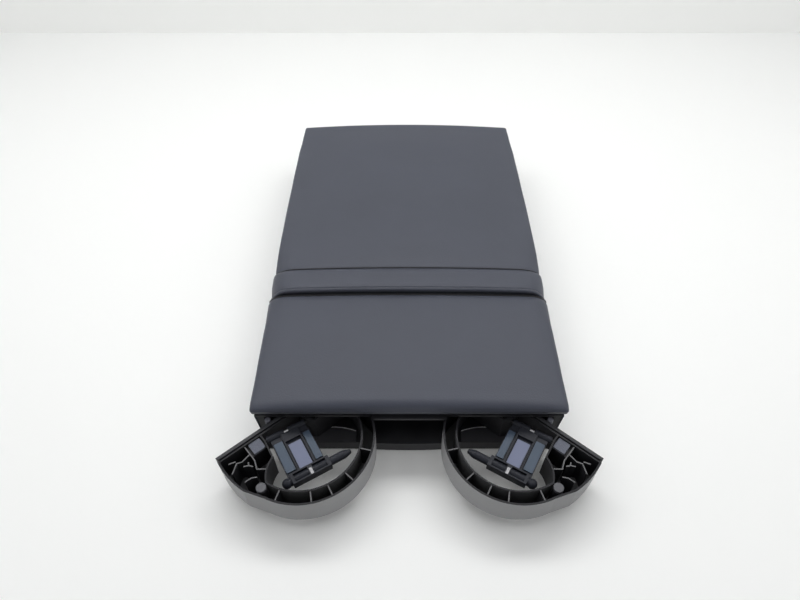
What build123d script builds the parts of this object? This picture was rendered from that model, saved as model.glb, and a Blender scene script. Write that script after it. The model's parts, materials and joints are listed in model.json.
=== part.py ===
from build123d import *
import math
import os

# Rear-seat centre armrest, as photographed: lying on its arm face, back face up, cup holders out.
# Frame: +X right, +Y towards the hinge end, +Z up, origin at the middle of the face it lies on.

# Body
BODY_LENGTH = 420.0
BODY_WIDTH = 271.0
BODY_HEIGHT = 66.0
SIDE_DRAFT = 4.5
CROWN = 4.5
CORNER_R = 4.0
SHOULDER_R = 5.0
NOSE_R = 6.0
LEATHER = 1.4
SKIN_GAP = 0.3

# Cushions
ARM_PAD = 10.5
LIP = 4.6
NOSE = 2.4
FRONT_DROP = 3.2
BAND_START = 127.2
BAND_WIDTH = 33.8
BAND_PROUD = 0.9

# Cup holder housing
FLOOR = 2.0
LID = 2.5
HEIGHT_GAP = 1.6
BAY_DEPTH = 91.0
REAR_WALL = 2.5
BAY_SIDE = 9.95
POST_R = 4.5
SCREW_R = 1.6
SCREW_HEAD_R = 3.2
SCREW_HEAD = 2.0
SCREW_REACH = 11.0

# Swing arms
ARM_HEIGHT = 28.5
OPEN_ANGLE = 139.5
PIVOT_IN = 9.25
PIN_R = 3.0
BOSS_R = 6.5
RUNNING = 0.07
ARM_WALL = 1.8
GROOVE = 1.5
GROOVE_DEPTH = 3.0
RIB = 1.0
HOLE_WALL = 1.4
SKIN = 2.2
RING_WIDTH = 12.2
FASCIA_THICK = 3.3
STOP_R = 2.6
RING_RIBS = (32.8, 61.3, 78.0, 97.6, 126.3)

# Cup flaps
FLAP_TURN = 10.0
FLAP_PIN_R = 1.5
BARREL_R = 3.0
ROD_R = 3.6
BALL_R = 4.2
WEB = 2.4
PLATE = 1.2
FLAP_RIB = 2.6
KNUCKLE = 5.2
CROSSBAR = 8.2
HINGE_DOWN = 5.5

# Latches
PLUNGER_R = 3.5
LATCH_TRAVEL = 4.0

# Frame and hinge
FRAME_R = 7.0
FRAME_WALL = 1.5
HINGE_R = 9.5
HINGE_WALL = 1.5
HINGE_BORE_R = 6.0
HINGE_IN = 25.0
HINGE_Z = 31.0

# Sizes that follow from these
PLAN = BODY_WIDTH / 271.0
FRONT = -BODY_LENGTH / 2
REAR = BODY_LENGTH / 2
TAN = math.tan(math.radians(SIDE_DRAFT))
EDGE_Z = BODY_HEIGHT - 1.0
Z_FLOOR = ARM_PAD + FLOOR
Z_ARM0 = Z_FLOOR + HEIGHT_GAP
Z_ARM1 = Z_ARM0 + ARM_HEIGHT
Z_LID0 = Z_ARM1 + HEIGHT_GAP
Z_LID1 = Z_LID0 + LID
Z_PAD = Z_LID1 + SKIN_GAP
BAND_Y = FRONT + BAND_START
BAND_END = BAND_Y + BAND_WIDTH
BAY_BACK = FRONT + BAY_DEPTH
CORE_FRONT = BAY_BACK + REAR_WALL + SKIN_GAP
HINGE_Y = REAR - HINGE_IN
CORE_REAR = HINGE_Y - HINGE_R - 4
LOW_REAR = REAR - 4
BAY_HALF = BODY_WIDTH / 2 - BAY_SIDE
SIDE_REACH = 38.2 * PLAN
PIVOT_X = BAY_HALF - 1.1 - SIDE_REACH
PIVOT_Y = FRONT + PIVOT_IN
END_R = PIVOT_X - 0.9
FASCIA_B = 13.8 * PLAN
ARM_B = FASCIA_B - FASCIA_THICK
RING_A = 17.2 * PLAN
RING_B = 16.4 * PLAN
RING_OUT = 60.2 * PLAN
RING_IN = RING_OUT - RING_WIDTH
TAIL = 30.0 * PLAN
PLUG_R = (RING_WIDTH - ARM_WALL - HOLE_WALL) / 2 - 0.3
PLUG_OUT = RING_OUT - ARM_WALL - PLUG_R - 0.2
PLUG_TURN = math.radians(16.8)
PLUG_AT = (RING_A + PLUG_OUT * math.cos(PLUG_TURN), RING_B + PLUG_OUT * math.sin(PLUG_TURN))
Z_HINGE = Z_ARM1 - HINGE_DOWN
Z_WEB0 = Z_HINGE - 2.5
INNER_B = ARM_B - GROOVE - 1.3
OPENING_B = INNER_B - 0.2
ROD_OUT = 44.3 * PLAN
FLAP_A = 25.2 * PLAN
FLAP_B = 0.2 * PLAN


def half(z):
    """Half-width of the body's drafted side at a height."""
    return BODY_WIDTH / 2 - (EDGE_Z - z) * TAN


def across(y):
    """A plane across the body at y, with X right and Z up, facing the front."""
    return Plane(origin=(0, y, 0), x_dir=(1, 0, 0), z_dir=(0, -1, 0))


def back_pad(inset, y0, y1, top, round_front, round_rear):
    """A length of the crowned back cushion, inset from the outer skin."""
    wide = BODY_WIDTH / 2 - inset
    low = half(Z_PAD) - inset
    edge = top - 1.0 - inset
    with BuildPart() as pad:
        with BuildSketch(across(y1)):
            with BuildLine():
                Polyline((-wide, edge), (-low, Z_PAD), (low, Z_PAD), (wide, edge))
                ThreePointArc((wide, edge), (0, edge + CROWN), (-wide, edge))
            make_face()
        extrude(amount=y1 - y0)
        ends = []
        if round_front:
            ends.append(y0)
        if round_rear:
            ends.append(y1)
        steep = pad.edges().filter_by(Axis.Y, reverse=True).filter_by(GeomType.LINE)
        steep = steep.filter_by(Axis.X, reverse=True)
        upright = [e for e in steep if any(abs(e.center().Y - y) < 0.1 for y in ends)]
        if upright:
            fillet(upright, radius=CORNER_R - inset)
        rim = [e for e in pad.edges() if e.center().Z > edge - 0.2]
        held = [y for y in (y0, y1) if y not in ends]
        rim = [e for e in rim if all(abs(e.center().Y - y) > 0.1 for y in held)]
        fillet(rim, radius=SHOULDER_R - inset)
        if round_front:
            with BuildSketch(Plane.YZ):
                slab(FRONT - 1, FRONT + NOSE_R, Z_PAD, Z_PAD + NOSE_R)
                with Locations((FRONT + NOSE_R, Z_PAD + NOSE_R)):
                    Circle(NOSE_R - inset, mode=Mode.SUBTRACT)
            extrude(amount=BODY_WIDTH, both=True, mode=Mode.SUBTRACT)
    return pad.part


def arm_pad(inset):
    """The flat arm cushion that the armrest lies on, inset from the outer skin."""
    y0 = FRONT - LIP + NOSE + SKIN_GAP + inset
    y1 = LOW_REAR - inset
    with BuildPart() as pad:
        with BuildSketch(across(y1)):
            wide = half(ARM_PAD) - inset
            low = half(0) - inset
            Polygon((-low, inset), (low, inset), (wide, ARM_PAD), (-wide, ARM_PAD), align=None)
        extrude(amount=y1 - y0)
        steep = pad.edges().filter_by(Axis.Y, reverse=True).filter_by(Axis.X, reverse=True)
        fillet(steep, radius=CORNER_R + 2 - inset)
        fillet(pad.faces().sort_by(Axis.Z)[0].edges(), radius=SHOULDER_R - inset)
    return pad.part


def arm_at(z):
    """The left arm's plane at a height: X along the arm from its pivot, Y to the ring."""
    turn = math.radians(360 - OPEN_ANGLE)
    return Plane(
        origin=(-PIVOT_X, PIVOT_Y, z),
        x_dir=(math.cos(turn), math.sin(turn), 0),
        z_dir=(0, 0, 1),
    )


def plan(*points):
    """Points of the arm's plan, scaled with the body."""
    return [(a * PLAN, b * PLAN) for a, b in points]


def flap_at(z):
    """The left flap's plane at a height: X along its hinge, Y to its foot rod."""
    turn = math.radians(360 - OPEN_ANGLE - FLAP_TURN)
    return Plane(
        origin=arm_at(z).from_local_coords((FLAP_A, FLAP_B, 0)),
        x_dir=(math.cos(turn), math.sin(turn), 0),
        z_dir=(0, 0, 1),
    )


def hinge_line(x):
    """A plane square to the left flap's hinge line, x along it, X towards the foot rod."""
    flat = flap_at(Z_HINGE)
    return Plane(
        origin=flat.from_local_coords((x * PLAN, 0, 0)),
        x_dir=flat.y_dir,
        z_dir=flat.x_dir,
    )


def rod_line(x):
    """A plane square to the left foot rod, x along it."""
    flat = flap_at(Z_HINGE)
    return Plane(
        origin=flat.from_local_coords((x * PLAN, ROD_OUT, 0)),
        x_dir=flat.y_dir,
        z_dir=flat.x_dir,
    )


def slab(x0, x1, y0, y1, mode=Mode.ADD):
    """A rectangle between two corners, in the current sketch."""
    with Locations(((x0 + x1) / 2, (y0 + y1) / 2)):
        Rectangle(x1 - x0, y1 - y0, mode=mode)


def arm_outline(inset=0.0):
    """The moulded arm's outer edge, or a line inside it, in the current sketch."""
    radius = END_R - inset
    low = INNER_B if inset else ARM_B
    side = SIDE_REACH - inset
    turn = RING_OUT - inset
    dip = math.degrees(math.asin(low / radius))
    step = 17.6
    begin = 25.0
    finish = math.degrees(math.acos(-(side + RING_A) / turn))
    with BuildLine() as edge:
        end = CenterArc((0, 0), radius, -dip, dip + step)
        ring = CenterArc((RING_A, RING_B), turn, begin, finish - begin)
        Line(end @ 1, ring @ 0)
        Polyline(ring @ 1, (-side, 6.0 * PLAN), (-TAIL + inset, -low), end @ 0)
    make_face(edge.edges())


def cup_opening():
    """The cup ring's opening, in the current sketch."""
    low = 10.2 * PLAN
    begin = 18.0
    finish = 180 + math.degrees(math.asin((RING_B - low) / RING_IN))
    with BuildLine() as edge:
        ring = CenterArc((RING_A, RING_B), RING_IN, begin, finish - begin)
        near, far, corner, side = plan((2.0, 10.2), (7.4, 3.6), (44.4, -1.0), (47.2, 16.4))
        Polyline(
            ring @ 1,
            near,
            far,
            (far[0], -OPENING_B),
            (corner[0], -OPENING_B),
            corner,
            side,
        )
        ThreePointArc(side, plan((57.0, 22.4))[0], ring @ 0)
    make_face(edge.edges())


os.makedirs("parts", exist_ok=True)

# Cushions and covers
front_skin = back_pad(0, FRONT, BAND_Y - 0.2, BODY_HEIGHT - FRONT_DROP, True, False)
front_core = back_pad(LEATHER, FRONT + LEATHER, BAND_Y + 1, BODY_HEIGHT - FRONT_DROP, True, False)
front_fill = back_pad(
    LEATHER + SKIN_GAP,
    FRONT + LEATHER + SKIN_GAP,
    BAND_Y,
    BODY_HEIGHT - FRONT_DROP,
    True,
    False,
)
rear_skin = back_pad(0, BAND_END, REAR, BODY_HEIGHT, False, True)
rear_core = back_pad(LEATHER, BAND_END - 1, REAR - LEATHER, BODY_HEIGHT, False, True)
rear_fill = back_pad(
    LEATHER + SKIN_GAP,
    BAND_Y,
    REAR - LEATHER - SKIN_GAP,
    BODY_HEIGHT,
    False,
    True,
)
band_skin = back_pad(-BAND_PROUD, BAND_Y, BAND_END, BODY_HEIGHT, False, False)
band_core = back_pad(LEATHER, BAND_Y - 1, BAND_END + 1, BODY_HEIGHT, False, False)
arm_skin = arm_pad(0)
arm_core = arm_pad(LEATHER)
arm_fill = arm_pad(LEATHER + SKIN_GAP)

with BuildPart() as front_panel:
    add(front_skin)
    add(front_core, mode=Mode.SUBTRACT)
front_panel.part.label = "front_panel"

with BuildPart() as rear_panel:
    add(rear_skin)
    add(rear_core, mode=Mode.SUBTRACT)
rear_panel.part.label = "rear_panel"

with BuildPart() as band:
    add(band_skin)
    add(band_core, mode=Mode.SUBTRACT)
band.part.label = "band"

# Screw heads stand in shallow pockets of the back foam
screw_spots = [
    (-BAY_HALF + 9, BAY_BACK - 6),
    (-11 * PLAN, BAY_BACK - 6),
    (11 * PLAN, BAY_BACK - 6),
    (BAY_HALF - 9, BAY_BACK - 6),
]
with BuildPart() as back_foam:
    add(front_fill)
    add(rear_fill)
    with BuildSketch(Plane.XY.offset(Z_PAD)):
        with Locations(*screw_spots):
            Circle(SCREW_HEAD_R + 0.8)
    extrude(amount=SCREW_HEAD + 1, mode=Mode.SUBTRACT)
back_foam.part.label = "back_foam"

with BuildPart() as arm_side_cover:
    add(arm_skin)
    add(arm_core, mode=Mode.SUBTRACT)
arm_side_cover.part.label = "arm_side_cover"

with BuildPart() as arm_side_foam:
    add(arm_fill)
arm_side_foam.part.label = "arm_side_foam"

# Side covers run from the front opening to the hinge caps
cap_start = CORE_REAR + SKIN_GAP
side_low = ARM_PAD + SKIN_GAP
with BuildPart() as left_side_cover:
    with BuildSketch(across(cap_start)):
        Polygon(
            (-half(side_low), side_low),
            (-half(side_low) + LEATHER, side_low),
            (-half(Z_LID1) + LEATHER, Z_LID1),
            (-half(Z_LID1), Z_LID1),
            align=None,
        )
    extrude(amount=cap_start - FRONT - 2)
left_side_cover.part.label = "left_side_cover"

with BuildPart() as right_side_cover:
    mirror(left_side_cover.part, about=Plane.YZ)
right_side_cover.part.label = "right_side_cover"

with BuildPart() as rear_cover:
    with BuildSketch(across(LOW_REAR)):
        Polygon(
            (-half(side_low) + 3, side_low),
            (half(side_low) - 3, side_low),
            (half(Z_LID1) - 3, Z_LID1),
            (-half(Z_LID1) + 3, Z_LID1),
            align=None,
        )
    extrude(amount=LEATHER)
rear_cover.part.label = "rear_cover"

# Hinge caps close the sides around the hinge
with BuildPart() as left_hinge_cap:
    with BuildSketch(across(LOW_REAR)):
        Polygon(
            (-half(side_low), side_low),
            (-half(side_low) + 2.6, side_low),
            (-half(Z_LID1) + 2.6, Z_LID1),
            (-half(Z_LID1), Z_LID1),
            align=None,
        )
    extrude(amount=LOW_REAR - cap_start - SKIN_GAP)
    with BuildSketch(Plane.YZ.offset(-BODY_WIDTH)):
        with Locations((HINGE_Y, HINGE_Z)):
            Circle(HINGE_BORE_R + 1.0)
    extrude(amount=BODY_WIDTH, mode=Mode.SUBTRACT)
left_hinge_cap.part.label = "left_hinge_cap"

with BuildPart() as right_hinge_cap:
    mirror(left_hinge_cap.part, about=Plane.YZ)
right_hinge_cap.part.label = "right_hinge_cap"

# Steel frame in the core
tube_half = half(HINGE_Z) - 11.0
frame_x = tube_half - 24.0
latch_depth = 20.0
frame_front = CORE_FRONT + latch_depth + FRAME_R + 3
with BuildPart() as frame_tube:
    with BuildLine() as frame_path:
        FilletPolyline(
            (-frame_x, HINGE_Y, HINGE_Z),
            (-frame_x, frame_front, HINGE_Z),
            (frame_x, frame_front, HINGE_Z),
            (frame_x, HINGE_Y, HINGE_Z),
            radius=32.0,
        )
    with BuildSketch(Plane(origin=frame_path.line @ 0, z_dir=frame_path.line % 0)):
        Circle(FRAME_R)
        Circle(FRAME_R - FRAME_WALL, mode=Mode.SUBTRACT)
    sweep(path=frame_path.line)
    with BuildSketch(Plane.YZ.offset(-tube_half)):
        with Locations((HINGE_Y, HINGE_Z)):
            Circle(HINGE_R)
    extrude(amount=2 * tube_half, mode=Mode.SUBTRACT)
frame_tube.part.label = "frame_tube"

with BuildPart() as hinge_tube:
    with BuildSketch(Plane.YZ.offset(-tube_half)):
        with Locations((HINGE_Y, HINGE_Z)):
            Circle(HINGE_R)
            Circle(HINGE_R - HINGE_WALL, mode=Mode.SUBTRACT)
    extrude(amount=2 * tube_half)
hinge_tube.part.label = "hinge_tube"

bush_out = half(HINGE_Z - HINGE_R - 1.5) - 2.6 - 0.3
with BuildPart() as left_hinge_bush:
    with BuildSketch(Plane.YZ.offset(-bush_out)):
        with Locations((HINGE_Y, HINGE_Z)):
            Circle(HINGE_R + 1.5)
    extrude(amount=bush_out - tube_half)
    with BuildSketch(Plane.YZ.offset(-tube_half)):
        with Locations((HINGE_Y, HINGE_Z)):
            Circle(HINGE_R - HINGE_WALL)
    extrude(amount=22.0)
    with BuildSketch(Plane.YZ.offset(-bush_out)):
        with Locations((HINGE_Y, HINGE_Z)):
            Circle(HINGE_BORE_R)
    extrude(amount=60.0, mode=Mode.SUBTRACT)
left_hinge_bush.part.label = "left_hinge_bush"

with BuildPart() as right_hinge_bush:
    mirror(left_hinge_bush.part, about=Plane.YZ)
right_hinge_bush.part.label = "right_hinge_bush"

# Latches behind the bay take the back of each closed ring
latch_x = PIVOT_X - RING_A
ring_back = PIVOT_Y + RING_B + RING_OUT
latch_z = (Z_ARM0 + Z_ARM1) / 2
latch_back = BAY_BACK + REAR_WALL + latch_depth
with BuildPart() as left_latch_body:
    with BuildSketch(across(latch_back)):
        with Locations((-latch_x, latch_z)):
            Rectangle(18.0, 14.0)
    extrude(amount=latch_depth)
    fillet(left_latch_body.edges().filter_by(Axis.Y), radius=1.5)
    with BuildSketch(across(latch_back - 3)):
        with Locations((-latch_x, latch_z)):
            Circle(PLUNGER_R + RUNNING)
    extrude(amount=latch_depth, mode=Mode.SUBTRACT)
left_latch_body.part.label = "left_latch_body"

with BuildPart() as right_latch_body:
    mirror(left_latch_body.part, about=Plane.YZ)
right_latch_body.part.label = "right_latch_body"

plunger_back = latch_back - 3 - LATCH_TRAVEL - 1.0
with BuildPart() as left_latch_plunger:
    with BuildSketch(across(plunger_back)):
        with Locations((-latch_x, latch_z)):
            Circle(PLUNGER_R)
    extrude(amount=plunger_back - ring_back - 0.45)
    fillet(left_latch_plunger.faces().sort_by(Axis.Y)[0].edges(), radius=1.2)
left_latch_plunger.part.label = "left_latch_plunger"

with BuildPart() as right_latch_plunger:
    mirror(left_latch_plunger.part, about=Plane.YZ)
right_latch_plunger.part.label = "right_latch_plunger"

# Core block around the frame
with BuildPart() as core_foam:
    with BuildSketch(across(CORE_REAR)):
        skin_in = LEATHER + SKIN_GAP
        Polygon(
            (-half(side_low) + skin_in, side_low),
            (half(side_low) - skin_in, side_low),
            (half(Z_LID1) - skin_in, Z_LID1),
            (-half(Z_LID1) + skin_in, Z_LID1),
            align=None,
        )
    extrude(amount=CORE_REAR - CORE_FRONT)
    with BuildLine() as channel_path:
        FilletPolyline(
            (-frame_x, CORE_REAR + 1, HINGE_Z),
            (-frame_x, frame_front, HINGE_Z),
            (frame_x, frame_front, HINGE_Z),
            (frame_x, CORE_REAR + 1, HINGE_Z),
            radius=32.0,
        )
    with BuildSketch(Plane(origin=channel_path.line @ 0, z_dir=channel_path.line % 0)):
        Circle(FRAME_R + 0.2)
    sweep(path=channel_path.line, mode=Mode.SUBTRACT)
    with BuildSketch(across(latch_back + SKIN_GAP)):
        with Locations((-latch_x, latch_z), (latch_x, latch_z)):
            Rectangle(18.8, 14.8)
    extrude(amount=latch_depth + 2, mode=Mode.SUBTRACT)
core_foam.part.label = "core_foam"

# Cup holder housing
housing_front = FRONT - LIP
wall_in = LEATHER + SKIN_GAP
with BuildPart() as housing_base:
    with BuildSketch(across(BAY_BACK + REAR_WALL)):
        Polygon(
            (-half(side_low) + wall_in, side_low),
            (half(side_low) - wall_in, side_low),
            (half(Z_LID0) - wall_in, Z_LID0),
            (-half(Z_LID0) + wall_in, Z_LID0),
            align=None,
        )
    extrude(amount=BAY_BACK + REAR_WALL - housing_front)
    with BuildSketch(Plane.XY.offset(Z_FLOOR)):
        slab(-BAY_HALF, BAY_HALF, FRONT - LIP - 5, BAY_BACK)
        slab(-BODY_WIDTH, BODY_WIDTH, FRONT - LIP - 5, FRONT + 3)
    extrude(amount=BODY_HEIGHT, mode=Mode.SUBTRACT)
    with BuildSketch(Plane.XY.offset(Z_FLOOR)):
        slab(-half(0) + 1, half(0) - 1, housing_front, housing_front + NOSE)
        with BuildLine():
            bow = 42.0 * PLAN
            ThreePointArc((-bow, housing_front), (0, housing_front - 1.6), (bow, housing_front))
            Line((bow, housing_front), (-bow, housing_front))
        make_face()
    extrude(amount=0.8 - Z_FLOOR)
    nose = housing_base.edges().filter_by(Axis.Z).sort_by(Axis.Y)
    nose = [e for e in nose if e.center().Y < housing_front + 0.1 and abs(e.center().X) > 0.4 * BODY_WIDTH]
    fillet(nose, radius=NOSE - 0.2)
    with BuildSketch(Plane.XY.offset(Z_FLOOR)):
        with Locations(*screw_spots):
            Circle(POST_R)
    extrude(amount=Z_LID0 - Z_FLOOR)
    with BuildSketch(Plane.XY.offset(Z_FLOOR)):
        with Locations((-PIVOT_X, PIVOT_Y), (PIVOT_X, PIVOT_Y)):
            Circle(BOSS_R)
    extrude(amount=HEIGHT_GAP - 0.3)
    with BuildSketch(Plane.XY.offset(side_low + 0.8)):
        with Locations((-PIVOT_X, PIVOT_Y), (PIVOT_X, PIVOT_Y)):
            Circle(PIN_R + 0.02)
    extrude(amount=BODY_HEIGHT, mode=Mode.SUBTRACT)
    with BuildSketch(Plane.XY.offset(Z_LID0 - SCREW_REACH - 1)):
        with Locations(*screw_spots):
            Circle(SCREW_R)
    extrude(amount=BODY_HEIGHT, mode=Mode.SUBTRACT)
    with BuildSketch(across(BAY_BACK + REAR_WALL + 1)):
        with Locations((-latch_x, latch_z), (latch_x, latch_z)):
            Circle(PLUNGER_R + 0.4)
    extrude(amount=REAR_WALL + 2, mode=Mode.SUBTRACT)
housing_base.part.label = "housing_base"

with BuildPart() as housing_lid:
    with BuildSketch(across(BAY_BACK + REAR_WALL)):
        Polygon(
            (-half(Z_LID0) + wall_in, Z_LID0),
            (half(Z_LID0) - wall_in, Z_LID0),
            (half(Z_LID1) - wall_in, Z_LID1),
            (-half(Z_LID1) + wall_in, Z_LID1),
            align=None,
        )
    extrude(amount=BAY_BACK + REAR_WALL - FRONT - 2.5)
    with BuildSketch(Plane.XY.offset(Z_LID0)):
        slab(-32.0 * PLAN, 32.0 * PLAN, FRONT - 0.8, FRONT + 4)
    extrude(amount=LID)
    with BuildSketch(Plane.XY.offset(Z_LID0)):
        with Locations((-PIVOT_X, PIVOT_Y), (PIVOT_X, PIVOT_Y)):
            Circle(BOSS_R)
    extrude(amount=-HEIGHT_GAP + 0.3)
    with BuildSketch(Plane.XY.offset(Z_LID0 - HEIGHT_GAP)):
        with Locations((-PIVOT_X, PIVOT_Y), (PIVOT_X, PIVOT_Y)):
            Circle(PIN_R + 0.02)
    extrude(amount=HEIGHT_GAP + LID - 0.6, mode=Mode.SUBTRACT)
    with BuildSketch(Plane.XY.offset(Z_LID0)):
        with Locations(*screw_spots):
            Circle(SCREW_R + 0.2)
    extrude(amount=LID + 1, mode=Mode.SUBTRACT)
housing_lid.part.label = "housing_lid"

with BuildPart() as housing_screws:
    with BuildSketch(Plane.XY.offset(Z_LID1)):
        with Locations(*screw_spots):
            Circle(SCREW_HEAD_R)
    extrude(amount=SCREW_HEAD)
    with BuildSketch(Plane.XY.offset(Z_LID1)):
        with Locations(*screw_spots):
            Circle(SCREW_R)
    extrude(amount=-LID - SCREW_REACH)
    heads = housing_screws.faces().group_by(Axis.Z)[-1]
    with Locations(*[Plane(f) for f in heads]):
        Hole(0.4 * SCREW_HEAD_R, depth=0.6 * SCREW_HEAD)
housing_screws.part.label = "housing_screws"

# Sill pads on the floor under each ring
with BuildPart() as left_sill:
    with BuildSketch(Plane.XY.offset(Z_FLOOR)):
        with BuildLine():
            front_y = housing_front + 0.6
            Polyline(
                (-89.0 * PLAN, FRONT + 6.5),
                (-89.0 * PLAN, front_y),
                (-47.0 * PLAN, front_y),
                (-47.0 * PLAN, FRONT + 6.5),
            )
            ThreePointArc(
                (-47.0 * PLAN, FRONT + 6.5),
                (-68.0 * PLAN, FRONT + 10.5),
                (-89.0 * PLAN, FRONT + 6.5),
            )
        make_face()
        with Locations((-PIVOT_X, PIVOT_Y)):
            Circle(BOSS_R + 0.4, mode=Mode.SUBTRACT)
    extrude(amount=1.2)
left_sill.part.label = "left_sill"

with BuildPart() as right_sill:
    mirror(left_sill.part, about=Plane.YZ)
right_sill.part.label = "right_sill"

# Stop posts stand just outside the open fascias
with BuildPart() as left_stop_post:
    with BuildSketch(arm_at(Z_FLOOR)):
        with Locations((32.4 * PLAN, -FASCIA_B - STOP_R - 0.45)):
            Circle(STOP_R)
    extrude(amount=Z_LID0 - Z_FLOOR - 1.0)
    fillet(left_stop_post.faces().sort_by(Axis.Z)[-1].edges(), radius=1.4)
left_stop_post.part.label = "left_stop_post"

with BuildPart() as right_stop_post:
    mirror(left_stop_post.part, about=Plane.YZ)
right_stop_post.part.label = "right_stop_post"

with BuildPart() as left_pivot_pin:
    with BuildSketch(Plane.XY.offset(side_low + 0.8)):
        with Locations((-PIVOT_X, PIVOT_Y)):
            Circle(PIN_R)
    extrude(amount=Z_LID1 - 0.6 - side_low - 0.8)
    chamfer(left_pivot_pin.edges().filter_by(GeomType.CIRCLE), length=0.4)
left_pivot_pin.part.label = "left_pivot_pin"

with BuildPart() as right_pivot_pin:
    mirror(left_pivot_pin.part, about=Plane.YZ)
right_pivot_pin.part.label = "right_pivot_pin"

# Left swing arm: a thin skin with open pockets, walls and ribs
rib_top = ARM_HEIGHT - SKIN - 0.6
with BuildPart() as left_arm:
    with BuildSketch(arm_at(Z_ARM0)) as arm_plan:
        arm_outline()
        with BuildSketch(mode=Mode.PRIVATE) as hole:
            cup_opening()
        add(hole.sketch_local, mode=Mode.SUBTRACT)
    extrude(amount=ARM_HEIGHT)
    with BuildSketch(arm_at(Z_ARM0 + SKIN)) as pockets:
        arm_outline(ARM_WALL)
        with BuildSketch(mode=Mode.PRIVATE) as hole_wall:
            cup_opening()
            offset(amount=HOLE_WALL, kind=Kind.INTERSECTION, mode=Mode.REPLACE)
        add(hole_wall.sketch_local, mode=Mode.SUBTRACT)
        Circle(BOSS_R, mode=Mode.SUBTRACT)
    extrude(amount=ARM_HEIGHT, mode=Mode.SUBTRACT)
    with BuildSketch(arm_at(Z_ARM0 + SKIN)):
        with BuildLine():
            Polyline(*plan((60.8, -7.0), (60.6, 8.6), (63.2, 16.4), (57.0, 21.4)))
            Polyline(*plan((80.6, 7.4), (73.3, 1.6), (69.0, 3.2), (61.0, 1.4)))
            Polyline(*plan((78.6, -2.2), (73.2, -0.4)))
            Polyline(*plan((70.4, 7.4), (66.6, 9.4), (64.4, 12.4)))
            Polyline(*plan((66.6, 9.4), (65.4, 6.6)))
            Polyline(*plan((76.4, 19.8), (70.8, 20.0), (66.6, 22.4)))
            Polyline(*plan((-6.0, 1.0), (-30.0, 1.0)))
            Polyline(*plan((-1.0, -6.4), (-1.0, 9.0)))
            for angle in RING_RIBS:
                turn = math.radians(angle)
                PolarLine(
                    (
                        RING_A + (RING_IN + 0.6) * math.cos(turn),
                        RING_B + (RING_IN + 0.6) * math.sin(turn),
                    ),
                    RING_WIDTH - 1.2,
                    angle,
                )
        trace(line_width=RIB)
    extrude(amount=rib_top)
    with BuildSketch(arm_at(Z_ARM0 + SKIN)):
        slab(45.6 * PLAN, 60.2 * PLAN, -INNER_B - 0.5, 3.6 * PLAN)
    extrude(amount=ARM_HEIGHT - SKIN - 4)
    with BuildSketch(arm_at(Z_ARM0 + SKIN)):
        with Locations(PLUG_AT):
            Circle(PLUG_R)
    extrude(amount=ARM_HEIGHT - SKIN - 3)
    with BuildSketch(arm_at(Z_ARM1)):
        slab(-TAIL, END_R, -ARM_B, -ARM_B + GROOVE)
    extrude(amount=-GROOVE_DEPTH, mode=Mode.SUBTRACT)
    with BuildSketch(arm_at(Z_ARM0)):
        Circle(PIN_R + RUNNING)
    extrude(amount=ARM_HEIGHT, mode=Mode.SUBTRACT)
    with BuildSketch(hinge_line(-20.6)):
        Circle(FLAP_PIN_R + 0.02)
    extrude(amount=41.8 * PLAN, mode=Mode.SUBTRACT)
left_arm.part.label = "left_arm"

with BuildPart() as right_arm:
    mirror(left_arm.part, about=Plane.YZ)
right_arm.part.label = "right_arm"

with BuildPart() as left_fascia:
    with BuildSketch(arm_at(Z_ARM0 - 0.4)):
        slab(-TAIL, math.sqrt(END_R**2 - FASCIA_B**2), -FASCIA_B, -ARM_B)
    extrude(amount=ARM_HEIGHT + 0.4)
    corners = left_fascia.edges().filter_by(Axis.Z).sort_by(Axis.Y)
    fillet(corners[0], radius=FASCIA_THICK - 0.3)
    fillet(left_fascia.edges().filter_by(Axis.Z).filter_by(GeomType.LINE).sort_by(Axis.Y)[-1], radius=1.2)
    fillet(left_fascia.faces().sort_by(Axis.Z)[-1].edges(), radius=0.6)
left_fascia.part.label = "left_fascia"

with BuildPart() as right_fascia:
    mirror(left_fascia.part, about=Plane.YZ)
right_fascia.part.label = "right_fascia"

with BuildPart() as left_felt_pad:
    with BuildSketch(arm_at(Z_ARM1 - 4)):
        slab(47.0 * PLAN, 57.6 * PLAN, -INNER_B + 0.2, 3.2 * PLAN)
    extrude(amount=2.4)
    fillet(left_felt_pad.edges().filter_by(Axis.Z), radius=0.8)
left_felt_pad.part.label = "left_felt_pad"

with BuildPart() as right_felt_pad:
    mirror(left_felt_pad.part, about=Plane.YZ)
right_felt_pad.part.label = "right_felt_pad"

with BuildPart() as left_plug:
    with BuildSketch(arm_at(Z_ARM1 - 3)):
        with Locations(PLUG_AT):
            Circle(PLUG_R)
    extrude(amount=2.8)
    fillet(left_plug.faces().sort_by(Axis.Z)[-1].edges(), radius=0.6)
left_plug.part.label = "left_plug"

with BuildPart() as right_plug:
    mirror(left_plug.part, about=Plane.YZ)
right_plug.part.label = "right_plug"

with BuildPart() as left_flap_pin:
    with BuildSketch(hinge_line(-20.4)):
        Circle(FLAP_PIN_R)
    extrude(amount=41.4 * PLAN)
left_flap_pin.part.label = "left_flap_pin"

with BuildPart() as right_flap_pin:
    mirror(left_flap_pin.part, about=Plane.YZ)
right_flap_pin.part.label = "right_flap_pin"

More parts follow.
